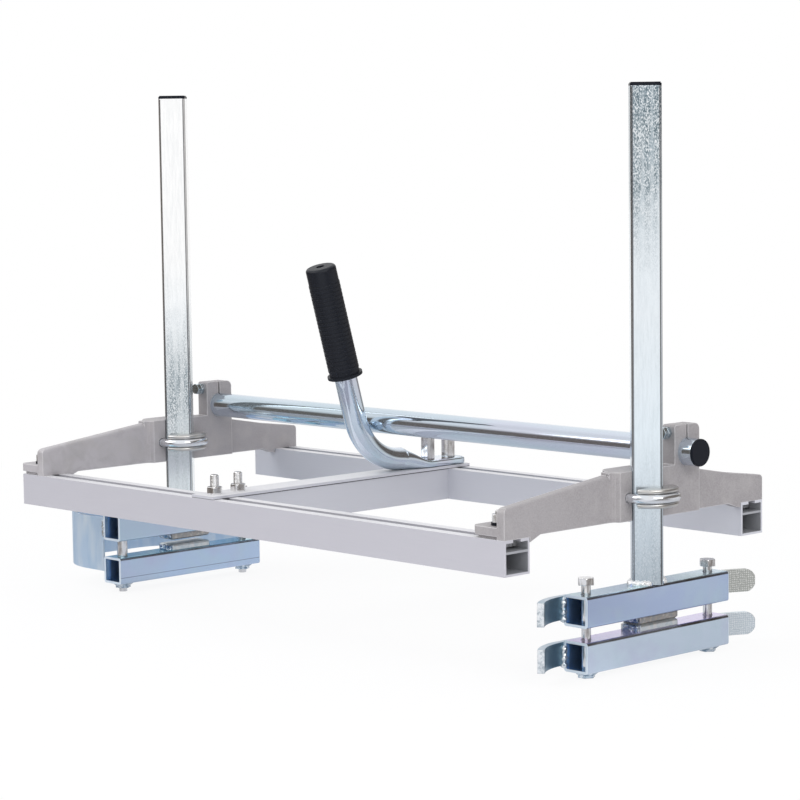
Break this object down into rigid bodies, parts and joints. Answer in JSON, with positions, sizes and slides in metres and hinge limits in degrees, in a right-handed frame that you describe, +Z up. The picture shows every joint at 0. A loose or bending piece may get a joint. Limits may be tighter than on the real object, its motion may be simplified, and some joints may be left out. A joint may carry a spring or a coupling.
{
  "type": "chainsaw mill",
  "caption": "Chainsaw milling guide: twin slotted rails, clamp brackets with sliding square posts, saw-bar jaws, nose guard, cross bar and bent handle with rubber grip.",
  "frame": {"origin": "centre of the bounding box's bottom, on the surface that the right jaw nuts and the left bolt tips stand on", "axes": "+X along the guide rails towards the cross bar's free end, +Y across the rails from front to rear, +Z up along the posts"},
  "size_m": [0.7746, 0.331, 0.4957],
  "materials": {
    "rail_aluminium": "satin extruded",
    "cast_bracket": "fine-grained casting",
    "zinc_tube": "bright zinc plate",
    "zinc_jaw": "blue-tinted zinc plate",
    "zinc_sheet": "blue-tinted zinc plate",
    "zinc_rod": "bright zinc plate",
    "galvanised_post": "mottled galvanised",
    "runner_steel": "ground and galvanised",
    "pad_steel": "knurled",
    "bright_steel": "zinc-plated hardware",
    "grip_rubber": "ribbed matte",
    "black_plastic": "moulded",
    "black_washer": "black oxide"
  },
  "bodies": {
    "frame": {"front_rail": "rail_aluminium", "rear_rail": "rail_aluminium", "centre_brace": "rail_aluminium", "brace_studs": "bright_steel", "brace_nuts": "bright_steel", "handle_tube": "zinc_tube", "handle_grip": "grip_rubber", "handle_nuts": "bright_steel", "cross_bar": "zinc_tube", "cross_bar_caps": "black_plastic"},
    "left_clamp": {"left_bracket": "cast_bracket", "left_foot_studs": "bright_steel", "left_foot_washers": "black_washer", "left_foot_nuts": "bright_steel", "left_pinch_screw": "bright_steel", "left_pinch_nut": "bright_steel", "left_u_bolt": "zinc_rod", "left_post_saddle": "bright_steel", "left_u_bolt_nuts": "bright_steel"},
    "right_clamp": {"right_bracket": "cast_bracket", "right_foot_studs": "bright_steel", "right_foot_washers": "black_washer", "right_foot_nuts": "bright_steel", "right_pinch_screw": "bright_steel", "right_pinch_nut": "bright_steel", "right_u_bolt": "zinc_rod", "right_post_saddle": "bright_steel", "right_u_bolt_nuts": "bright_steel"},
    "left_mast": {"left_post": "galvanised_post", "left_post_cap": "black_plastic", "left_upper_jaw": "zinc_jaw", "left_upper_pad": "pad_steel", "nose_guard": "zinc_sheet"},
    "right_mast": {"right_post": "galvanised_post", "right_post_cap": "black_plastic", "right_upper_jaw": "zinc_jaw", "right_upper_pad": "pad_steel", "right_upper_runner": "runner_steel"},
    "left_lower": {"left_lower_jaw": "zinc_jaw", "left_lower_pad": "pad_steel", "left_jaw_nuts": "zinc_jaw", "left_spacer": "bright_steel"},
    "right_lower": {"right_lower_jaw": "zinc_jaw", "right_lower_pad": "pad_steel", "right_jaw_nuts": "zinc_jaw", "right_lower_runner": "runner_steel"},
    "left_front_screw": {"left_front_bolt": "zinc_rod"},
    "left_rear_screw": {"left_rear_bolt": "zinc_rod"},
    "right_front_screw": {"right_front_bolt": "zinc_rod"},
    "right_rear_screw": {"right_rear_bolt": "zinc_rod"}
  },
  "joints": [
    {"name": "left_clamp_slide", "type": "slide", "parent": "frame", "child": "left_clamp", "axis": [1, 0, 0], "range_m": [0, 0.19]},
    {"name": "right_clamp_slide", "type": "slide", "parent": "frame", "child": "right_clamp", "axis": [1, 0, 0], "range_m": [-0.325, 0]},
    {"name": "left_mast_slide", "type": "slide", "parent": "left_clamp", "child": "left_mast", "axis": [0, 0, 1], "range_m": [-0.3, 0.03]},
    {"name": "right_mast_slide", "type": "slide", "parent": "right_clamp", "child": "right_mast", "axis": [0, 0, 1], "range_m": [-0.3, 0.026]},
    {"name": "left_jaw_slide", "type": "slide", "parent": "left_mast", "child": "left_lower", "axis": [0, 0, 1], "range_m": [-0.0059, 0]},
    {"name": "right_jaw_slide", "type": "slide", "parent": "right_mast", "child": "right_lower", "axis": [0, 0, 1], "range_m": [-0.0049, 0]},
    {"name": "left_front_turn", "type": "hinge", "parent": "left_lower", "child": "left_front_screw", "pos_m": [-0.27509, -0.0747, 0.0317], "axis": [0, 0, 1], "continuous": true},
    {"name": "left_rear_turn", "type": "hinge", "parent": "left_lower", "child": "left_rear_screw", "pos_m": [-0.27509, 0.0823, 0.0317], "axis": [0, 0, 1], "continuous": true},
    {"name": "right_front_turn", "type": "hinge", "parent": "right_lower", "child": "right_front_screw", "pos_m": [0.35641, -0.0747, 0.0317], "axis": [0, 0, 1], "continuous": true},
    {"name": "right_rear_turn", "type": "hinge", "parent": "right_lower", "child": "right_rear_screw", "pos_m": [0.35641, 0.0823, 0.0317], "axis": [0, 0, 1], "continuous": true}
  ]
}
